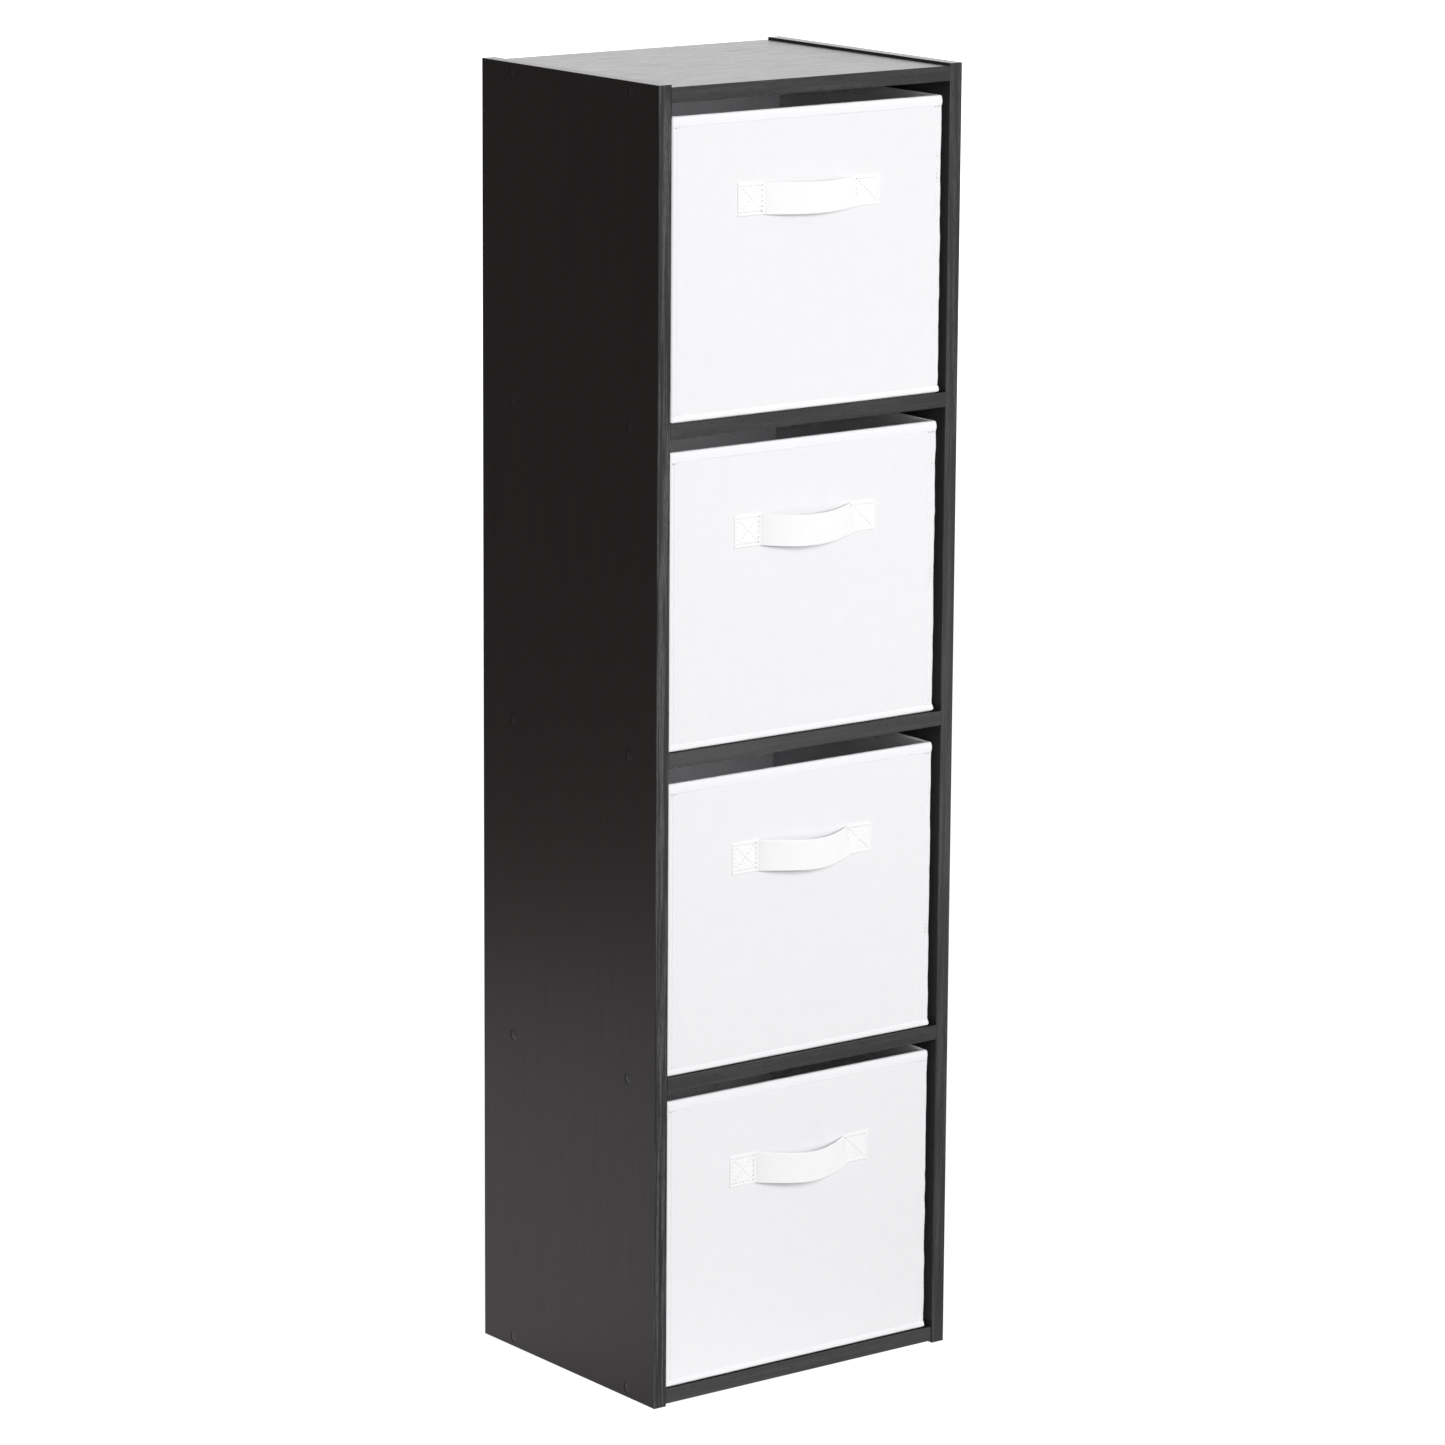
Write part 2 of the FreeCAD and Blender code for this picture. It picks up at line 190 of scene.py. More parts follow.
# ---- sizes of the materials' features, (across, along) where they run with the grain ----
PORES = (0.9 * MM, 32 * MM)
STREAKS = (7 * MM, 210 * MM)
FINE_GRAIN = (0.45 * MM, 9 * MM)
FOIL_RIBS = (2.5 * MM, 90 * MM)
FOIL_BEADS = (0.9 * MM, 7 * MM)
SLUBS = 14 * MM
FIBRES = 0.7 * MM


# ---------------------------------------------------------------- node materials

def add(tree, kind, inputs, **properties):
    """A shader node. Each input is a value, or the socket that feeds it."""
    made = tree.nodes.new("ShaderNode" + kind)
    for key, value in properties.items():
        setattr(made, key, value)
    for key, value in inputs.items():
        if isinstance(value, bpy.types.NodeSocket):
            tree.links.new(value, made.inputs[key])
        else:
            made.inputs[key].default_value = value
    return made


def math_node(tree, operation, *values):
    return add(tree, "Math", dict(enumerate(values)), operation=operation).outputs[0]


def remap(tree, value, low, high, to_low, to_high):
    inputs = {"Value": value, "From Min": low, "From Max": high, "To Min": to_low, "To Max": to_high}
    return add(tree, "MapRange", inputs).outputs["Result"]


def blend_colours(tree, share, first, second):
    mix = tree.nodes.new("ShaderNodeMix")
    mix.data_type = "RGBA"
    tree.links.new(share, mix.inputs["Factor"])
    mix.inputs["A"].default_value = (*first, 1)
    mix.inputs["B"].default_value = (*second, 1)
    return next(out for out in mix.outputs if out.type == "RGBA")


def stretched_noise(tree, coordinates, size, grain, detail=3.0, distortion=0.0):
    """Noise whose features have a size across and along one axis, in metres."""
    scale = [1 / size[0]] * 3
    scale["XYZ".index(grain)] = 1 / size[1]
    mapped = add(tree, "Mapping", {"Vector": coordinates, "Scale": scale}).outputs["Vector"]
    inputs = {"Vector": mapped, "Scale": 1.0, "Detail": detail, "Roughness": 0.6}
    return add(tree, "TexNoise", {**inputs, "Distortion": distortion}).outputs["Fac"]


def plain_noise(tree, coordinates, size, detail=3.0):
    inputs = {"Vector": coordinates, "Scale": 1 / size, "Detail": detail, "Roughness": 0.55}
    return add(tree, "TexNoise", inputs).outputs["Fac"]


def new_material(name, metallic=0.0, ior=1.5, sheen=0.0):
    material = bpy.data.materials.new(name)
    material.use_nodes = True
    tree = material.node_tree
    shader = tree.nodes["Principled BSDF"]
    shader.inputs["Metallic"].default_value = metallic
    shader.inputs["IOR"].default_value = ior
    shader.inputs["Sheen Weight"].default_value = sheen
    return material, tree, shader


def finish_material(tree, shader, colour, roughness, height, depth):
    """Feeds the shader its colour, its roughness and a bump depth metres high."""
    bump = add(tree, "Bump", {"Height": height, "Strength": 1.0, "Distance": depth})
    tree.links.new(colour, shader.inputs["Base Color"])
    tree.links.new(roughness, shader.inputs["Roughness"])
    tree.links.new(bump.outputs["Normal"], shader.inputs["Normal"])


def object_coordinates(tree):
    return add(tree, "TexCoord", {}).outputs["Object"]


def laminate(name, grain, dark, light, gloss, relief):
    """Printed and embossed wood-grain foil: long pores, broad streaks, a satin face."""
    material, tree, shader = new_material(name, ior=1.42)
    where = object_coordinates(tree)
    flecks = stretched_noise(tree, where, PORES, grain, 4.0)
    pores = remap(tree, flecks, 0.50, 0.68, 0.0, 1.0)
    streaks = stretched_noise(tree, where, STREAKS, grain, 3.0, 0.4)
    fine = stretched_noise(tree, where, FINE_GRAIN, grain, 2.0)
    tone = math_node(tree, "SUBTRACT", remap(tree, streaks, 0.3, 0.7, 0.15, 1.0),
                     math_node(tree, "MULTIPLY", pores, 0.45))
    colour = blend_colours(tree, tone, dark, light)
    roughness = remap(tree, math_node(tree, "ADD", pores, fine), 0.3, 1.6, gloss, gloss + 0.13)
    height = math_node(tree, "SUBTRACT", math_node(tree, "MULTIPLY", fine, 0.5),
                       math_node(tree, "MULTIPLY", pores, 0.5))
    finish_material(tree, shader, colour, roughness, height, relief)
    return material


def edge_foil(name, grain, dark, light, gloss, relief):
    """Banding foil on a board's front edge: a few strong embossed streaks along it, coloured lighter;
    on the left foil that colour is partly painted highlight.
    """
    material, tree, shader = new_material(name, ior=1.48)
    where = object_coordinates(tree)
    ribs = stretched_noise(tree, where, FOIL_RIBS, grain, 1.0, 0.2)
    beads = stretched_noise(tree, where, FOIL_BEADS, grain, 2.0)
    lines = remap(tree, ribs, 0.44, 0.60, 0.0, 1.0)
    tone = math_node(tree, "MULTIPLY", lines, remap(tree, beads, 0.35, 0.6, 0.35, 1.0))
    colour = blend_colours(tree, tone, dark, light)
    roughness = remap(tree, beads, 0.3, 0.7, gloss, gloss + 0.14)
    height = math_node(tree, "ADD", lines, math_node(tree, "MULTIPLY", beads, 0.4))
    finish_material(tree, shader, colour, roughness, height, relief)
    return material


def fine_grained(name, dark, light, size, roughness, depth, metallic=0.0, grain=None):
    """Plain stock with a fine grain: board, hardboard, plastic, dowel wood, steel or thread."""
    material, tree, shader = new_material(name, metallic=metallic)
    where = object_coordinates(tree)
    if grain:
        coarse = stretched_noise(tree, where, (size, size * 14), grain)
    else:
        coarse = plain_noise(tree, where, size)
    speckle = plain_noise(tree, where, size / 5)
    tone = math_node(tree, "MULTIPLY_ADD", speckle, 0.4, math_node(tree, "MULTIPLY", coarse, 0.6))
    colour = blend_colours(tree, remap(tree, tone, 0.3, 0.7, 0.0, 1.0), dark, light)
    rough = remap(tree, speckle, 0.3, 0.7, roughness - 0.06, roughness + 0.06)
    finish_material(tree, shader, colour, rough, tone, depth)
    return material


def woven(name, dark, light, thread, depth, diagonal=False):
    """Plain-woven cloth, or ribbed webbing, threaded along the mesh's cloth coordinates."""
    material, tree, shader = new_material(name, sheen=0.08)
    cloth = add(tree, "UVMap", {}, uv_map="cloth").outputs["UV"]
    split = add(tree, "SeparateXYZ", {"Vector": cloth})
    turn = math.pi / thread
    warp = math_node(tree, "SINE", math_node(tree, "MULTIPLY", split.outputs["X"], turn))
    weft = math_node(tree, "SINE", math_node(tree, "MULTIPLY", split.outputs["Y"], turn))
    crossing = math_node(tree, "MULTIPLY", warp, weft)
    if diagonal:
        slant = math_node(tree, "ADD", split.outputs["X"], split.outputs["Y"])
        crossing = math_node(tree, "ADD", math_node(tree, "MULTIPLY", crossing, 0.5),
                             math_node(tree, "SINE", math_node(tree, "MULTIPLY", slant, turn * 0.7)))
    slub = add(tree, "TexNoise", {"Vector": cloth, "Scale": 1 / SLUBS, "Detail": 4.0}).outputs["Fac"]
    fibre = add(tree, "TexNoise", {"Vector": cloth, "Scale": 1 / FIBRES, "Detail": 2.0}).outputs["Fac"]
    height = math_node(tree, "MULTIPLY_ADD", fibre, 0.5, remap(tree, crossing, -1.0, 1.0, 0.0, 0.7))
    tone = math_node(tree, "MULTIPLY_ADD", slub, 0.5, math_node(tree, "MULTIPLY", height, 0.6))
    colour = blend_colours(tree, remap(tree, tone, 0.25, 0.85, 0.0, 1.0), dark, light)
    rough = remap(tree, fibre, 0.3, 0.7, 0.82, 0.96)
    finish_material(tree, shader, colour, rough, height, depth)
    return material


def grey(value, blue=0.0):
    return (value, value, value + blue)


BLACK, WARM_BLACK = (0.0150, 0.0084, 0.0092), (0.0225, 0.0130, 0.0132)
side_laminate = laminate("laminate_upright_grain", "Z", BLACK, WARM_BLACK, 0.28, 0.025 * MM)
# right panel: a lighter copy of the black laminate, painted light for its shaded inner face beside the
# bins
right_laminate_painted_light = laminate("laminate_right_panel_painted_light", "Z", (0.036, 0.033, 0.035), (0.052, 0.049, 0.051),
                          0.27, 0.03 * MM)
shelf_laminate = laminate("laminate_level_grain", "X", (0.008, 0.007, 0.007), (0.018, 0.016, 0.015),
                          0.25, 0.04 * MM)
# left front edge: the light colour of its streaks is partly the foil's print and partly painted
# highlight of the embossed streaks
left_foil_painted_highlight = edge_foil("edge_foil_left_painted_highlights", "Z", (0.012, 0.012, 0.013), (0.074, 0.074, 0.078),
                      0.38, 0.06 * MM)
right_foil = edge_foil("edge_foil_right", "Z", (0.034, 0.033, 0.034), (0.062, 0.061, 0.062),
                       0.26, 0.02 * MM)
level_foil = edge_foil("edge_foil_level", "X", (0.035, 0.034, 0.034), (0.049, 0.048, 0.048),
                       0.26, 0.015 * MM)
hardboard = fine_grained("painted_hardboard", (0.014, 0.013, 0.013), (0.026, 0.024, 0.023),
                         3 * MM, 0.55, 0.05 * MM)
screw_steel = fine_grained("zinc_plated_steel", grey(0.40, 0.01), grey(0.55, 0.01),
                           1 * MM, 0.35, 0.01 * MM, metallic=1.0)
cap_plastic = fine_grained("black_cap_plastic", (0.017, 0.011, 0.012), (0.022, 0.014, 0.015),
                           1.5 * MM, 0.30, 0.01 * MM)
dowel_wood = fine_grained("beech_dowel", (0.52, 0.36, 0.21), (0.70, 0.53, 0.35),
                          0.8 * MM, 0.7, 0.05 * MM, grain="X")
grey_board = fine_grained("grey_board", (0.33, 0.31, 0.29), (0.46, 0.44, 0.41),
                          1.2 * MM, 0.9, 0.04 * MM)
cover_cloth = woven("cover_cloth", grey(0.825, 0.015), grey(0.875, 0.015), 0.42 * MM, 0.05 * MM)
# inside of the bins: a lighter copy of the cover cloth, painted light on the shaded inner walls
lining_cloth_painted_light = woven("lining_cloth_painted_light", grey(0.90, 0.035), grey(0.935, 0.03), 0.42 * MM, 0.05 * MM)
tape_cloth = woven("tape_cloth", grey(0.86, 0.02), grey(0.91, 0.02), 0.36 * MM, 0.04 * MM)
insert_cloth = woven("insert_cloth", grey(0.74, 0.01), grey(0.85, 0.01), 0.55 * MM, 0.07 * MM)
webbing = woven("webbing", grey(0.895, 0.013), grey(0.948, 0.012), 0.62 * MM, 0.10 * MM, diagonal=True)
# the loop's back face: a darker copy of the webbing, painted shade that keeps bounced light off the
# bin's face above the loop
webbing_back_painted_shade = woven("webbing_back_painted_shade", grey(0.50, 0.02), grey(0.60, 0.02), 0.62 * MM, 0.10 * MM,
                     diagonal=True)
needle_shade = fine_grained("needle_hole_shade", grey(0.52, 0.02), grey(0.62, 0.02),
                            0.4 * MM, 0.8, 0.02 * MM)
thread = fine_grained("sewing_thread", grey(0.80), grey(0.92), 0.4 * MM, 0.6, 0.02 * MM)


def dress(node, material):
    """Puts a material in every slot of a CAD node's object."""
    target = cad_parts[node]
    for held in target.material_slots:
        held.link = "OBJECT"
        held.material = material


def dress_cabinet():
    for side, face, foil in (("left", side_laminate, left_foil_painted_highlight), ("right", right_laminate_painted_light, right_foil)):
        dress(side + "_side_panel", face)
        dress(side + "_side_edge_band", foil)
        dress(side + "_screws", screw_steel)
        dress(side + "_screw_caps", cap_plastic)
        dress(side + "_dowels", dowel_wood)
    for name in ("bottom", "lower_shelf", "middle_shelf", "upper_shelf", "top"):
        dress(name if name.endswith("shelf") else name + "_panel", shelf_laminate)
        dress(name + "_edge_band", level_foil)
    dress("back_panel", hardboard)
    for name in BINS:
        for board in ("front_board", "rear_board", "left_boards", "right_boards"):
            dress(f"{name}_bin_{board}", grey_board)


# ---------------------------------------------------------------- meshes

def make_object(name, verts, faces, cloth, material, smooth=True):
    """A mesh object. cloth gives a (u, v) in metres for each corner of each face."""
    mesh = bpy.data.meshes.new(name)
    mesh.from_pydata(verts, [], faces)
    layer = mesh.uv_layers.new(name="cloth")
    corner = 0
    for face_cloth in cloth:
        for uv in face_cloth:
            layer.data[corner].uv = uv
            corner += 1
    mesh.materials.append(material)
    mesh.polygons.foreach_set("use_smooth", [smooth] * len(mesh.polygons))
    piece = bpy.data.objects.new(name, mesh)
    bpy.context.scene.collection.objects.link(piece)
    return piece


# which way each side of a bin is walked, and which way it faces: front, right, rear, left
DIRECTIONS = (Vector((1, 0, 0)), Vector((0, 1, 0)), Vector((-1, 0, 0)), Vector((0, -1, 0)))
NORMALS = (Vector((0, -1, 0)), Vector((1, 0, 0)), Vector((0, 1, 0)), Vector((-1, 0, 0)))
CORNER_STEPS = 5
# where the mesh is close-set, from a corner, a fold and a tape
NEAR_CORNER = tuple(
    mm * MM for mm in (0, 0.6, 1.2, 1.8, 2.4, 3.0, 3.6, 4.3, 5, 5.7, 6.4, 7.5, 9, 12, 16))
NEAR_FOLD = tuple(mm * MM for mm in (0, 0.6, 1.2, 2.0, 3.2, 5.5, 9))
NEAR_TAPE = tuple(mm * MM for mm in (0.6, 1.5, 3, 5.6, 6.4, 7.4, 8.8, 11, 14))
COARSE_STEP = 6.5 * MM


def spread(low, high, step):
    """Evenly spaced values strictly between low and high."""
    count = max(1, round((high - low) / step))
    return [low + (high - low) * index / count for index in range(1, count)]


def side_positions(half, folded):
    """Positions along one straight side from -half to half, closer at its ends and at a fold."""
    marks = {round(edge * (half - near), 7) for edge in (-1, 1) for near in NEAR_CORNER}
    if folded:
        marks |= {round(sign * near, 7) for sign in (-1, 1) for near in NEAR_FOLD}
        inner = NEAR_FOLD[-1]
    else:
        inner = 0.0
        marks.add(0.0)
    outer = half - NEAR_CORNER[-1]
    for value in spread(inner, outer, COARSE_STEP):
        marks |= {value, -value}
    return sorted(marks)


def running_lengths(points):
    """How far round a closed line each of its points is, and at the end the whole way round."""
    found = [0.0]
    for first, second in zip(points, points[1:] + points[:1]):
        found.append(found[-1] + math.dist(first, second))
    return found


class Loop:
    """A rounded rectangle seen from above, walked along its sides in their order."""

    def __init__(self, x_range, y_range, radius):
        self.centre = Vector(((x_range[0] + x_range[1]) / 2, (y_range[0] + y_range[1]) / 2, 0))
        half_x = (x_range[1] - x_range[0]) / 2
        half_y = (y_range[1] - y_range[0]) / 2
        self.radius = radius
        self.runs = [half_x - radius, half_y - radius] * 2
        self.reach = [half_y, half_x] * 2

    def stations(self):
        """(side, share of the half run, share of the corner's turn) for every step of the walk."""
        found = []
        for side, run in enumerate(self.runs):
            for along in side_positions(run, folded=side % 2 == 1):
                found.append((side, along / run, None))
            for step in range(1, CORNER_STEPS):
                found.append((side, 1.0, step / CORNER_STEPS))
        return found

    def point(self, station):
        """The point and the outward normal at a station."""
        side, share, turn = station
        along, out = DIRECTIONS[side], NORMALS[side]
        if turn is None:
            middle = self.centre + out * self.reach[side]
            return middle + along * (share * self.runs[side]), out.copy()
        angle = turn * math.pi / 2
        normal = out * math.cos(angle) + along * math.sin(angle)
        middle = self.centre + along * self.runs[side] + out * (self.reach[side] - self.radius)
        return middle + normal * self.radius, normal

    def encloses(self, point):
        """Whether a point is inside the loop, or less than the lining's slack outside it."""
        half_x, half_y = self.reach[1] + LINING_SLACK, self.reach[0] + LINING_SLACK
        return abs(point.x - self.centre.x) < half_x and abs(point.y - self.centre.y) < half_y

    def lengths(self, stations):
        """How far round the loop each station is."""
        return running_lengths([self.point(station)[0] for station in stations])


def swept(rings, lengths, section_lengths, closed):
    """Joins rings of points, one ring per station, into a skin closed round the loop."""
    count, size = len(rings), len(rings[0])
    verts = [point for ring in rings for point in ring]
    faces, cloth = [], []
    for index in range(count):
        here, there = index * size, (index + 1) % count * size
        u0, u1 = lengths[index], lengths[index + 1]
        for row in range(size if closed else size - 1):
            above = (row + 1) % size
            faces.append((here + row, there + row, there + above, here + above))
            v0, v1 = section_lengths[row], section_lengths[row + 1]
            cloth.append(((u0, v0), (u1, v0), (u1, v1), (u0, v1)))
    return verts, faces, cloth


def close_opening(verts, faces, cloth, opening, shares, crown):
    """Closes an opening with rings drawn in to its middle, which stands crown above its edge."""
    edge = [Vector(verts[index]) for index in opening]
    centre = sum(edge, Vector()) / len(edge)
    outer = opening
    for share in shares:
        inner = list(range(len(verts), len(verts) + len(edge)))
        rise = Vector((0, 0, crown * (1 - share * share)))
        verts.extend(centre + (point - centre) * share + rise for point in edge)
        for index in range(len(edge)):
            follow = (index + 1) % len(edge)
            faces.append((outer[index], outer[follow], inner[follow], inner[index]))
        outer = inner
    faces.append(outer)
    for face in faces[len(cloth):]:
        cloth.append([(verts[index][0], verts[index][1]) for index in face])


def bell(value, centre, width):
    return math.exp(-((value - centre) / width) ** 2)


def wave(point, size, seed):
    """Smooth noise from -1 to 1."""
    return noise.noise(point / size + Vector((seed, 2.7 * seed, -1.3 * seed)))


def cover_shape(loop, station, point, height, rim_height, seed):
    """How far the cover stands out from its boards at one point of a wall."""
    side, share, turn = station
    straight = turn is None
    run = loop.runs[side]
    from_corner = run * (1 - abs(share)) + CORNER_ARC if straight else 0.0
    below_tape = rim_height - RIM_TAPE_HEIGHT - height
    above_tape = height - BASE_TAPE_HEIGHT
    out = SOFTNESS * (0.35 + 0.65 * wave(point, 70 * MM, seed))
    if straight:
        out += FACE_CROWN * (1 - share * share) * math.sin(math.pi * height / rim_height)
    out += CREPE * wave(point, 9 * MM, seed + 5)
    out = max(out, 0.0) * min(1.0, from_corner / FULL_FROM)
    for depth, distance, width in SEAM_ROLLS:
        out += depth * bell(from_corner, distance, width)
    for distance in (below_tape, above_tape):
        if distance > 0:
            gathers = 0.5 + 0.5 * wave(point, 3.2 * MM, seed + 9)
            out += PUCKER * gathers * math.exp(-distance / PUCKER_REACH)
    drift = EDGE_DRIFT * wave(Vector((0, 0, height)), 11 * MM, seed + 17)
    out += drift * right_corner(loop, station)
    if side % 2 == 1 and straight:
        for depth, distance, width in FOLD_ROLLS:
            out += depth * bell(abs(share * run), distance, width)
    return out


def right_corner(loop, station):
    """1 at the front right corner, falling to 0 a few millimetres round it."""
    side, share, turn = station
    if side == 0:
        away = 0.0 if turn is not None else loop.runs[0] * (1 - share)
    elif side == 1:
        away = loop.runs[1] * (1 + share) if turn is None else 1.0
    else:
        away = 1.0
    return bell(away, 0.0, CORNER_REACH)


def heights(low, high):
    """Levels up a wall, closer beside the tapes."""
    steps = {low, high}
    for near in NEAR_TAPE:
        steps |= {low + near, high - near}
    steps |= set(spread(low + NEAR_TAPE[-1], high - NEAR_TAPE[-1], COARSE_STEP))
    return sorted(round(step, 7) for step in steps)


class SewnBin:
    """The looks of one bin, laid over the CAD solids of its cover, tapes, handle and base board."""

    def __init__(self, name, seed):
        self.name, self.seed = name, seed
        low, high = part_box(f"{name}_bin_cover")
        self.base, self.rim = low[2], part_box(f"{name}_bin_rim_binding")[1][2]
        self.outer = Loop((low[0], high[0]), (low[1], high[1]), CORNER_R)
        inner_ranges = [(low[axis] + WALL, high[axis] - WALL) for axis in (0, 1)]
        self.inner = Loop(*inner_ranges, INNER_CORNER_R)
        self.stations = self.outer.stations()
        self.lengths = self.outer.lengths(self.stations)
        self.face_y = low[1]

    def attach(self, piece, replaced):
        attach(piece, f"{self.name}_bin")
        if replaced:
            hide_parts(*[f"{self.name}_bin_{node}" for node in replaced])

    def cover(self):
        """Outer wall, rim, inner wall and both floors in one closed skin."""
        top, rim_height = self.rim - RIM_DROP, self.rim - self.base
        levels = heights(self.base, top)
        inner_levels = [top, top - 4 * MM, top - 12 * MM]
        inner_levels += list(reversed(levels[4:-12:3])) + [self.base + FLOOR_THICKNESS]
        rings = []
        for station in self.stations:
            outer_point, normal = self.outer.point(station)
            inner_point, inner_normal = self.inner.point(station)
            ring = []
            for level in levels:
                height = level - self.base
                place = Vector((outer_point.x, outer_point.y, level))
                out = cover_shape(self.outer, station, place, height, rim_height, self.seed)
                out -= FOOT_INSET * max(0.0, 1 - height / FOOT_TURN)
                ring.append(place + normal * out)
            for level in inner_levels:
                place = Vector((inner_point.x, inner_point.y, level))
                sag = INNER_SAG * (0.5 + 0.5 * wave(place, 60 * MM, self.seed + 3))
                ring.append(place - inner_normal * sag)
            rings.append(ring)
        section = levels + [2 * top - level for level in inner_levels]
        section_lengths = [value - self.base for value in section] + [0.0]
        verts, faces, cloth = swept(rings, self.lengths, section_lengths, closed=False)
        size = len(rings[0])
        for row, turn in ((0, -1), (size - 1, 1)):
            opening = [index * size + row for index in range(len(rings))][::turn]
            close_opening(verts, faces, cloth, opening, FLOOR_SHARES, 0.0)
        piece = make_object(f"{self.name}_bin_fabric_cover", verts, faces, cloth, cover_cloth)
        # the inner walls take the lighter cloth: painted light on the shaded interior
        piece.data.materials.append(lining_cloth_painted_light)
        for polygon in piece.data.polygons:
            above_floor = polygon.center.z > self.base + FLOOR_THICKNESS / 2
            if above_floor and self.inner.encloses(polygon.center):
                polygon.material_index = 1
        self.attach(piece, ["cover"])

    def tape(self, label, profile_of, replaced):
        """A tape sewn round the bin. profile_of gives its closed section at a station."""
        rings = []
        for station in self.stations:
            outer_point, normal = self.outer.point(station)
            inner_point, inner_normal = self.inner.point(station)
            ring = []
            for anchor, out, level in profile_of(station, outer_point):
                if anchor == "outer":
                    ring.append(Vector((outer_point.x, outer_point.y, level)) + normal * out)
                else:
                    ring.append(Vector((inner_point.x, inner_point.y, level)) - inner_normal * out)
            rings.append(ring)
        verts, faces, cloth = swept(rings, self.lengths, running_lengths(rings[0]), closed=True)
        piece = make_object(f"{self.name}_bin_{label}", verts, faces, cloth, tape_cloth)
        self.attach(piece, replaced)

    def rim_profile(self, station, point):
        """Folded tape: down the outside, over the rim, down the inside, and back under itself."""
        drift = 0.25 * MM * wave(point, 45 * MM, self.seed + 12)
        swell = TAPE_PROUD + 0.12 * MM * wave(point, 12 * MM, self.seed + 14)
        swell += CORNER_FULLNESS * right_corner(self.outer, station)
        crumple = 0.16 * MM * wave(point, 3.5 * MM, self.seed + 16)
        low = self.rim - RIM_TAPE_HEIGHT + drift
        top = self.rim + min(0.0, crumple)
        return [
            ("outer", -TAPE_LAP, low),
            ("outer", swell * 0.35, low + 1.0 * MM),
            ("outer", swell * 0.65, low + 2.1 * MM),
            ("outer", swell * 0.9, low + 3.6 * MM),
            ("outer", swell * 0.85, low + 5.4 * MM),
            ("outer", swell * 0.55 + crumple, top - 1.7 * MM),
            ("outer", swell * 0.1 + crumple, top - 0.6 * MM),
            ("outer", -0.8 * MM, top - 0.1 * MM),
            ("outer", -1.5 * MM, top),
            ("inner", -0.5 * MM, top - 0.05 * MM),
            ("inner", swell * 0.55, top - 0.45 * MM),
            ("inner", swell, top - 1.6 * MM),
            ("inner", swell, low + 0.9 * MM),
            ("inner", swell * 0.85, low + 0.2 * MM),
            ("inner", TAPE_LAP, low),
            ("inner", 0.0, top - 0.9 * MM),
            ("outer", -0.6 * MM, top - 1.2 * MM),
        ]

    def base_profile(self, station, point):
        """Tape round the foot, a little fuller at its lower edge."""
        drift = 0.25 * MM * wave(point, 40 * MM, self.seed + 22)
        swell = TAPE_PROUD + 0.15 * MM * wave(point, 10 * MM, self.seed + 24)
        swell += CORNER_FULLNESS * right_corner(self.outer, station)
        low, top = self.base, self.base + BASE_TAPE_HEIGHT + drift
        edge = low + FOOT_LIFT + 0.3 * MM * wave(point, 18 * MM, self.seed + 26)
        return [
            ("outer", -1.6 * MM, low),
            ("outer", -0.5 * MM, low + 0.3 * FOOT_LIFT),
            ("outer", swell * 0.9, edge),
            ("outer", swell * 1.3, edge + 0.7 * MM),
            ("outer", swell * 1.15, edge + 1.8 * MM),
            ("outer", swell * 0.8, top - 1.3 * MM),
            ("outer", swell * 0.45, top - 0.5 * MM),
            ("outer", -TAPE_LAP, top),
            ("outer", -0.4 * MM, top - 0.8 * MM),
            ("outer", -0.8 * MM, edge + 0.9 * MM),
            ("outer", -1.6 * MM, low + 0.8 * MM),
        ]

    def seam_stitches(self):
        """Stitch lines along the lower edge of the rim tape and the upper edge of the base tape."""
        stitches = []
        tape_edges = (self.base + BASE_TAPE_HEIGHT, self.rim - RIM_TAPE_HEIGHT)
        for level in (tape_edges[1] + RIM_STITCHES, tape_edges[0] - BASE_STITCHES):
            stitches += stitches_round(self.outer, level, TAPE_PROUD - STITCH_SINK)
        low = Vector((0, 0, tape_edges[0] + SEAM_MARGIN))
        high = Vector((0, 0, tape_edges[1] - SEAM_MARGIN))
        for side, run in enumerate(self.outer.runs):
            for end in (-1, 1):
                share = end * (run - SEAM_DISTANCE + CORNER_ARC) / run
                spot, normal = self.outer.point((side, share, None))
                spot = spot - normal * SEAM_DEPTH
                stitches += stitches_along(spot + low, spot + high, normal)
        piece = stitch_object(f"{self.name}_bin_seam_stitching", stitches)
        self.attach(piece, [])

    def strap(self):
        """Webbing handle: turned-under ends sewn flat, and a loop that stands off and sags."""
        low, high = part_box(f"{self.name}_bin_handle")
        stand_off, sag, lean, tilt = STRAP_SHAPES[self.name]
        middle = Vector(((low[0] + high[0]) / 2, self.face_y - STRAP_SEAT, (low[2] + high[2]) / 2))
        half_width = (high[2] - low[2]) / 2
        half_span = (high[0] - low[0]) / 2
        half_loop = half_span - PATCH
        lines = patch_lines(half_span, half_loop, half_width)
        holes = bar_holes(half_loop, half_width)

        def loop_share(x, across):
            """0 at the loop's left end and 1 at its right end, which slants."""
            right = half_loop + FOLD_SLANT * (0.5 - across / (2 * half_width))
            return min(1.0, max(0.0, (x + half_loop) / (right + half_loop)))

        def off_face(x, across):
            return stand_off * math.sin(math.pi * loop_share(x, across) ** STAND_LEAN) ** STEEPNESS

        def surface(x, across):
            """A point of the strap's inner face."""
            drop = sag * math.sin(math.pi * loop_share(x, 0.0) ** lean)
            rise = across * (1 - WIDTH_TAPER * x / half_span) - drop - tilt * x / (2 * half_span)
            return middle + Vector((x, -off_face(x, across), rise))

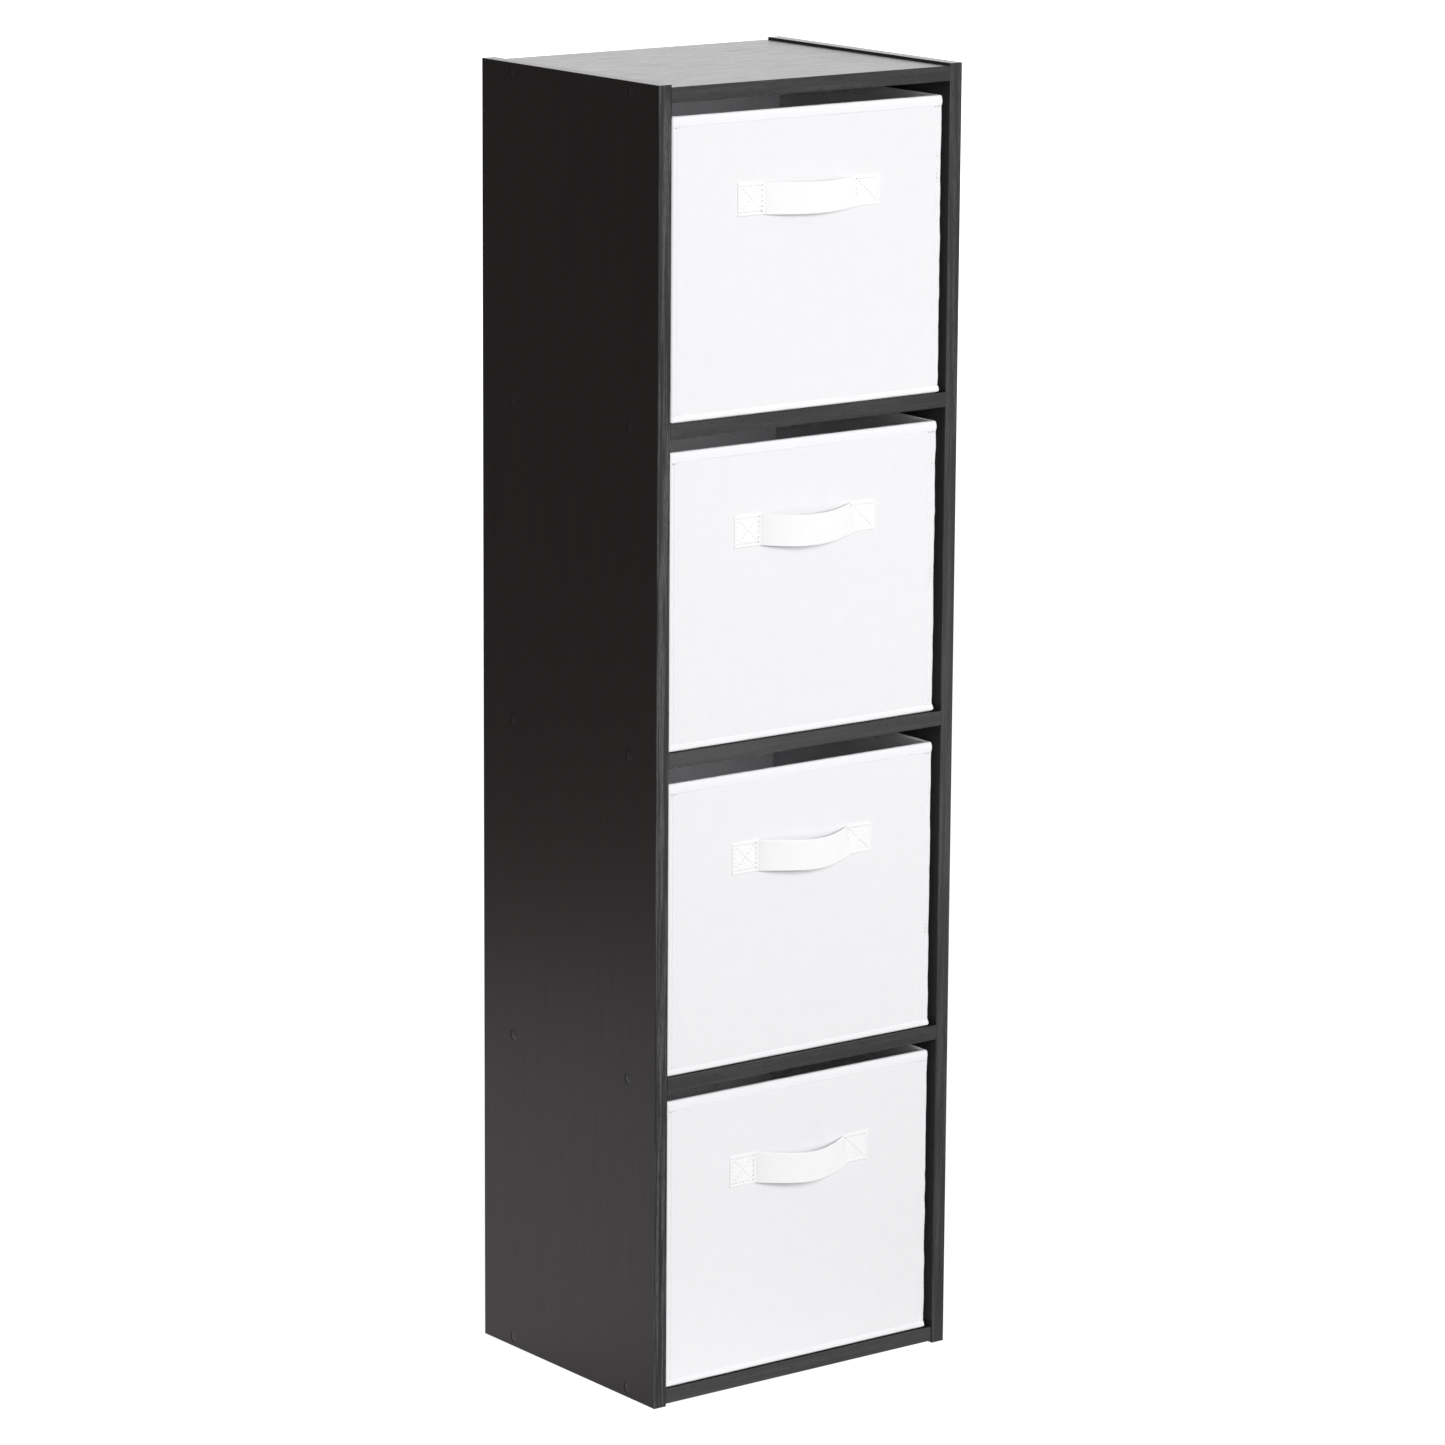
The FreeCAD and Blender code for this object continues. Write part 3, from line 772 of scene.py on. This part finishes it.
        rings, run, lengths = [], 0.0, []
        xs = strap_positions(half_span, half_loop)
        step = 0.3 * MM
        for x in xs:
            from_end = half_span - abs(x)
            folded = min(1.0, max(0.0, (PATCH_FOLD - from_end) / FOLD_SLOPE))
            rounding = math.sqrt(1 - (1 - min(1.0, from_end / END_ROUNDING)) ** 2)
            thickness = STRAP_LAYER + FOLD_THICKNESS * folded
            thickness *= THIN_END + (1 - THIN_END) * rounding
            ring = []
            for across, lift in strap_section(half_width, thickness):
                before, after = surface(x - step, across), surface(x + step, across)
                outward = (after - before).cross(Vector((0, 0, 1))).normalized()
                if lift > 0:
                    lift += WEBBING_WAVE * wave(Vector((x, across, 0)), 7 * MM, self.seed + 33)
                    lift -= sewn_dip(x, across, lines, holes)
                ring.append(surface(x, across) + outward * lift)
            if rings:
                run += (ring[0] - rings[-1][0]).length
            lengths.append(run)
            rings.append(ring)
        verts, faces, cloth = strip(rings, lengths, strap_section(half_width, STRAP_LAYER))
        piece = make_object(f"{self.name}_bin_webbing_handle", verts, faces, cloth, webbing)
        # second slot: the darker webbing, painted shade on the loop's back, except near its right end
        piece.data.materials.append(webbing_back_painted_shade)
        for index, x in enumerate(xs[:-1]):
            if -half_loop < x < half_loop - LIT_END:
                piece.data.polygons[index * len(rings[0])].material_index = 1
        self.attach(piece, ["handle"])

        stitches, pits = [], []
        to_face = Vector((0, -STRAP_LAYER + THREAD_SINK, 0))
        for line in lines:
            if max(off_face(x, across) for x, across in line) > SEWN_FLAT:
                continue
            first, last = (surface(x, across) + to_face for x, across in line)
            stitches += stitches_along(first, last, NORMALS[0])
            count = max(1, round((last - first).length / STITCH_PITCH))
            for index in range(count + 1):
                pits.append((first.lerp(last, index / count), SMALL_HOLE_RADIUS))
        for x, across in holes:
            if off_face(x, across) < BARRED_FLAT:
                pits.append((surface(x, across) + to_face, HOLE_RADIUS))
        piece = stitch_object(f"{self.name}_bin_handle_stitching", stitches)
        self.attach(piece, [])
        piece = pit_object(f"{self.name}_bin_handle_needle_holes", pits)
        self.attach(piece, [])

    def base_insert(self):
        """Loose base board wrapped in cloth: rounded corners, soft edges, a slight crown."""
        low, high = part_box(f"{self.name}_bin_base_board")
        loop = Loop((low[0], high[0]), (low[1], high[1]), INSERT_CORNER_R)
        stations = loop.stations()
        lengths = loop.lengths(stations)
        thickness = high[2] - low[2]
        section = [(-inset, rise) for inset, rise in INSERT_TURNS] + [(0.0, thickness / 2)]
        section += [(-inset, thickness - rise) for inset, rise in reversed(INSERT_TURNS)]
        rings = []
        for station in stations:
            point, normal = loop.point(station)
            foot = Vector((point.x, point.y, low[2]))
            rings.append([foot + Vector((0, 0, rise)) + normal * out for out, rise in section])
        verts, faces, cloth = swept(rings, lengths, running_lengths(section), closed=False)
        size = len(section)
        under = [index * size for index in reversed(range(len(rings)))]
        close_opening(verts, faces, cloth, under, FLOOR_SHARES, 0.0)
        upper = [index * size + size - 1 for index in range(len(rings))]
        close_opening(verts, faces, cloth, upper, CROWN_SHARES, BASE_CROWN)
        piece = make_object(f"{self.name}_bin_base_insert", verts, faces, cloth, insert_cloth)
        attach(piece, f"{self.name}_base")
        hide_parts(f"{self.name}_bin_base_board")

    def build(self):
        self.cover()
        self.tape("rim_tape", self.rim_profile, ["rim_binding"])
        self.tape("base_tape", self.base_profile, ["base_binding"])
        self.seam_stitches()
        self.strap()
        self.base_insert()


def strap_section(half_width, thickness):
    """(across, off the face) round a strap's section: rolled edges, a close-set outer face."""
    roll = min(EDGE_ROLL, thickness / 2)
    shoulder = roll * 0.6
    section = [(-half_width + roll, 0.0), (half_width - roll, 0.0)]
    section += [(half_width, shoulder), (half_width, thickness - shoulder)]
    for index in range(STRAP_ROWS + 1):
        section.append(((half_width - roll) * (1 - 2 * index / STRAP_ROWS), thickness))
    section += [(-half_width, thickness - shoulder), (-half_width, shoulder)]
    return section


def strap_positions(half_span, half_loop):
    """Positions along a strap, close-set on the sewn patches and closer still at its two ends."""
    width = half_span - half_loop
    patch = [half_loop + width * index / PATCH_STEPS for index in range(PATCH_STEPS)]
    patch = [x for x in patch if half_span - x > END_ROUNDING]
    patch += [half_span - END_ROUNDING * share for share in (0.8, 0.5, 0.25, 0.1, 0.0)]
    loop = [half_loop * (2 * index / LOOP_STEPS - 1) for index in range(1, LOOP_STEPS)]
    return [-x for x in reversed(patch)] + loop + patch


def patch_lines(half_span, half_loop, half_width):
    """The sewn lines of both patches, as (x, z) ends: a box with a cross in it on each."""
    lines = []
    for side in (-1, 1):
        outer, inner = side * (half_span - BOX_INSET), side * (half_loop + BOX_INSET * 0.7)
        top, foot = half_width - BOX_INSET, -half_width + BOX_INSET
        corners = [(outer, foot), (outer, top), (inner, top), (inner, foot)]
        lines += list(zip(corners, corners[1:] + corners[:1]))
        lines += [(corners[0], corners[2]), (corners[1], corners[3])]
    return lines


def bar_holes(half_loop, half_width):
    """Centres of the needle holes in the bar sewn across each patch beside the loop."""
    count = int(2 * half_width / HOLE_PITCH)
    rises = [(index - (count - 1) / 2) * HOLE_PITCH for index in range(count)]
    return [(side * (half_loop + BAR_OFFSET), rise) for side in (-1, 1) for rise in rises]


def sewn_dip(x, across, lines, holes):
    """How far stitching pulls a strap's face down at one point: a channel, deeper at each hole."""
    deepest = 0.0
    for start, end in lines:
        run_x, run_z = end[0] - start[0], end[1] - start[1]
        length = math.hypot(run_x, run_z)
        along = ((x - start[0]) * run_x + (across - start[1]) * run_z) / length
        aside = abs((x - start[0]) * run_z - (across - start[1]) * run_x) / length
        if aside > 1.6 * MM or not -0.5 * MM < along < length + 0.5 * MM:
            continue
        pitch = length / max(1, round(length / STITCH_PITCH))
        hole = 0.5 + 0.5 * math.cos(2 * math.pi * along / pitch)
        depth = CHANNEL_DEPTH + STITCH_DIP * hole ** 3
        deepest = max(deepest, depth * bell(aside, 0.0, CHANNEL_WIDTH))
    for hole_x, hole_z in holes:
        away = math.hypot(x - hole_x, across - hole_z)
        if away < 3 * HOLE_RADIUS:
            deepest = max(deepest, HOLE_DEPTH * bell(away, 0.0, HOLE_RADIUS))
    return deepest


def strip(rings, lengths, section):
    """A tube of rings with both ends closed, and cloth coordinates along and across it."""
    size = len(rings[0])
    across = running_lengths(section)
    verts = [point for ring in rings for point in ring]
    faces, cloth = [], []
    for index in range(len(rings) - 1):
        here, there = index * size, (index + 1) * size
        u0, u1 = lengths[index], lengths[index + 1]
        for row in range(size):
            above = (row + 1) % size
            faces.append((here + row, here + above, there + above, there + row))
            v0, v1 = across[row], across[row + 1]
            cloth.append(((u0, v0), (u0, v1), (u1, v1), (u1, v0)))
    last = (len(rings) - 1) * size
    for cap in (list(range(size))[::-1], list(range(last, last + size))):
        faces.append(cap)
        cloth.append([(0.0, across[index % size]) for index in cap])
    return verts, faces, cloth


# ---------------------------------------------------------------- stitches

def stitches_along(start, end, normal):
    """(centre, direction, normal) of each stitch on a straight line."""
    run = end - start
    ahead = run.normalized()
    count = max(1, round(run.length / STITCH_PITCH))
    return [(start + run * ((index + 0.5) / count), ahead, normal) for index in range(count)]


def stitches_round(loop, level, off):
    """Stitches along the four straight sides of a loop, at one height."""
    found = []
    for side in range(4):
        start, normal = loop.point((side, -1.0, None))
        end = loop.point((side, 1.0, None))[0]
        raised = Vector((0, 0, level)) + normal * off
        found += stitches_along(start + raised, end + raised, normal)
    return found


def ring_round(centre, first_axis, second_axis, sides):
    """Points round an ellipse, from its two half axes."""
    angles = [2 * math.pi * corner / sides for corner in range(sides)]
    return [centre + first_axis * math.cos(a) + second_axis * math.sin(a) for a in angles]


def tubes_object(name, tubes, material, smooth):
    """Small closed tubes in one mesh, each a stack of rings of points. x and z are their cloth."""
    verts, faces = [], []
    for rings in tubes:
        sides, first = len(rings[0]), len(verts)
        verts.extend(point for ring in rings for point in ring)
        last = len(verts) - sides
        for here in range(first, last, sides):
            there = here + sides
            for corner in range(sides):
                follow = (corner + 1) % sides
                faces.append((here + corner, there + corner, there + follow, here + follow))
        faces.append(list(range(first, first + sides)))
        faces.append(list(range(last, last + sides))[::-1])
    cloth = [[(verts[index][0], verts[index][2]) for index in face] for face in faces]
    return make_object(name, verts, faces, cloth, material, smooth)


def stitch_object(name, stitches):
    """Short rounded threads, each dipping into the cloth at both ends."""
    tubes = []
    for centre, direction, normal in stitches:
        across = direction.cross(normal)
        rings = []
        for share in (-0.5, -0.3, 0.0, 0.3, 0.5):
            width = THREAD_R * math.sqrt(max(0.0, 1 - (1.9 * share) ** 2)) + 0.04 * MM
            dip = -THREAD_R * 1.2 * (2 * share) ** 2
            spot = centre + direction * (share * STITCH_LENGTH) + normal * dip
            rings.append(ring_round(spot, across * width, normal * width, 5))
        tubes.append(rings)
    return tubes_object(name, tubes, thread, smooth=True)


def pit_object(name, pits):
    """Needle holes: small shaded buttons of thread, sunk at their middles."""
    tubes = []
    for centre, radius in pits:
        rings = []
        for share, depth in ((1.0, 0.15 * MM), (1.0, -0.06 * MM), (0.55, 0.0)):
            spot, reach = centre + Vector((0, depth, 0)), share * radius
            rings.append(ring_round(spot, Vector((reach, 0, 0)), Vector((0, 0, reach)), 8))
        tubes.append(rings)
    return tubes_object(name, tubes, needle_shade, smooth=False)


# ---------------------------------------------------------------- studio

def make_floor():
    """A pale floor that fades out at its rim; a light table's glow keeps shadows off it."""
    rim = bmesh.new()
    bmesh.ops.create_circle(rim, cap_ends=True, segments=96, radius=FLOOR_RADIUS)
    mesh = bpy.data.meshes.new("studio_floor")
    rim.to_mesh(mesh)
    rim.free()
    floor = bpy.data.objects.new("studio_floor", mesh)
    floor.location = (*FLOOR_CENTRE, cad_box[0].z)
    bpy.context.scene.collection.objects.link(floor)
    material, tree, shader = new_material("pale_floor")
    shader.inputs["Emission Color"].default_value = (1, 1, 1, 1)
    shader.inputs["Emission Strength"].default_value = FLOOR_GLOW
    where = object_coordinates(tree)
    tone = plain_noise(tree, where, 0.4)
    colour = blend_colours(tree, tone, (0.20, 0.20, 0.20), (0.24, 0.24, 0.24))
    roughness = remap(tree, tone, 0.0, 1.0, 0.7, 0.8)
    finish_material(tree, shader, colour, roughness, tone, 0.1 * MM)
    away = add(tree, "VectorMath", {0: where}, operation="LENGTH").outputs["Value"]
    opacity = remap(tree, away, FLOOR_RADIUS * FLOOR_FADE, FLOOR_RADIUS, FLOOR_OPACITY, 0.0)
    tree.links.new(opacity, shader.inputs["Alpha"])
    mesh.materials.append(material)


def make_area_light(name, place, aim, size, power, spread_angle):
    data = bpy.data.lights.new(name, "AREA")
    data.shape = "RECTANGLE"
    data.size, data.size_y = size
    data.energy = power
    data.spread = math.radians(spread_angle)
    lamp = bpy.data.objects.new(name, data)
    bpy.context.scene.collection.objects.link(lamp)
    lamp.location = place
    lamp.rotation_euler = (Vector(aim) - Vector(place)).to_track_quat("-Z", "Y").to_euler()
    lamp.visible_camera = False


def window(tree, value, low, high, soft):
    """1 between low and high, falling to 0 over soft outside them."""
    rising = remap(tree, value, low - soft, low, 0.0, 1.0)
    falling = remap(tree, value, high, high + soft, 1.0, 0.0)
    return math_node(tree, "MULTIPLY", rising, falling)


def wall_of_light(tree, toward):
    """1 in the directions of the bright wall, falling to 0 round it."""
    flat = add(tree, "VectorMath", {0: toward, 1: (1, 1, 0)}, operation="MULTIPLY").outputs["Vector"]
    level = add(tree, "VectorMath", {0: flat}, operation="NORMALIZE").outputs["Vector"]
    aimed = add(tree, "VectorMath", {0: level, 1: REAR_WALL}, operation="DOT_PRODUCT")
    edge = math.cos(math.radians(WALL_HALF_ANGLE * 1.3))
    inside = math.cos(math.radians(WALL_HALF_ANGLE * 0.8))
    across = remap(tree, aimed.outputs["Value"], edge, inside, 0.0, 1.0)
    up = add(tree, "SeparateXYZ", {"Vector": toward}).outputs["Z"]
    return math_node(tree, "MULTIPLY", across, window(tree, up, WALL_LOW, WALL_HIGH, WALL_SOFT))


def make_world():
    """White where the camera looks; for light and reflections, a dim room with one bright wall."""
    world = bpy.data.worlds.new("studio")
    bpy.context.scene.world = world
    world.use_nodes = True
    tree = world.node_tree
    tree.nodes.clear()
    toward = add(tree, "TexCoord", {}).outputs["Generated"]
    up = add(tree, "SeparateXYZ", {"Vector": toward}).outputs["Z"]
    rear = wall_of_light(tree, toward)
    room = remap(tree, up, 0.1, 0.9, ROOM_LOW, ROOM_HIGH)
    glow = math_node(tree, "MULTIPLY_ADD", rear, REAR_GLOW, room)
    seen = add(tree, "LightPath", {}).outputs["Is Camera Ray"]
    strength = math_node(tree, "MAXIMUM", glow, math_node(tree, "MULTIPLY", seen, CAMERA_WHITE))
    background = add(tree, "Background", {"Color": (1, 1, 1, 1), "Strength": strength})
    output = add(tree, "OutputWorld", {})
    tree.links.new(background.outputs[0], output.inputs[0])


def make_camera():
    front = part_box("left_side_edge_band")[0][1]
    data = bpy.data.cameras.new("camera")
    data.lens = CAMERA_LENS_MM
    data.sensor_width = 36.0
    camera = bpy.data.objects.new("camera", data)
    bpy.context.scene.collection.objects.link(camera)
    ahead = Vector((math.sin(CAMERA_YAW) * math.cos(CAMERA_PITCH),
                    math.cos(CAMERA_YAW) * math.cos(CAMERA_PITCH), -math.sin(CAMERA_PITCH)))
    right = Vector((math.cos(CAMERA_YAW), -math.sin(CAMERA_YAW), 0))
    up = right.cross(ahead)
    rolled_right = right * math.cos(CAMERA_ROLL) + up * math.sin(CAMERA_ROLL)
    rolled_up = up * math.cos(CAMERA_ROLL) - right * math.sin(CAMERA_ROLL)
    turned = Matrix((rolled_right, rolled_up, -ahead)).transposed()
    place = Matrix.Translation((CAMERA_RIGHT, front - CAMERA_FROM_FRONT, CAMERA_HEIGHT))
    camera.matrix_world = place @ turned.to_4x4()
    bpy.context.scene.camera = camera


dress_cabinet()
for index, name in enumerate(BINS):
    SewnBin(name, FIRST_SEED + SEED_STEP * index).build()
make_floor()
make_world()
for name, (place, aim, size, power, spread_angle) in LIGHTS.items():
    make_area_light(name, place, aim, size, power, spread_angle)
make_camera()
bpy.context.scene.view_settings.view_transform = "Standard"
bpy.context.scene.view_settings.look = "None"
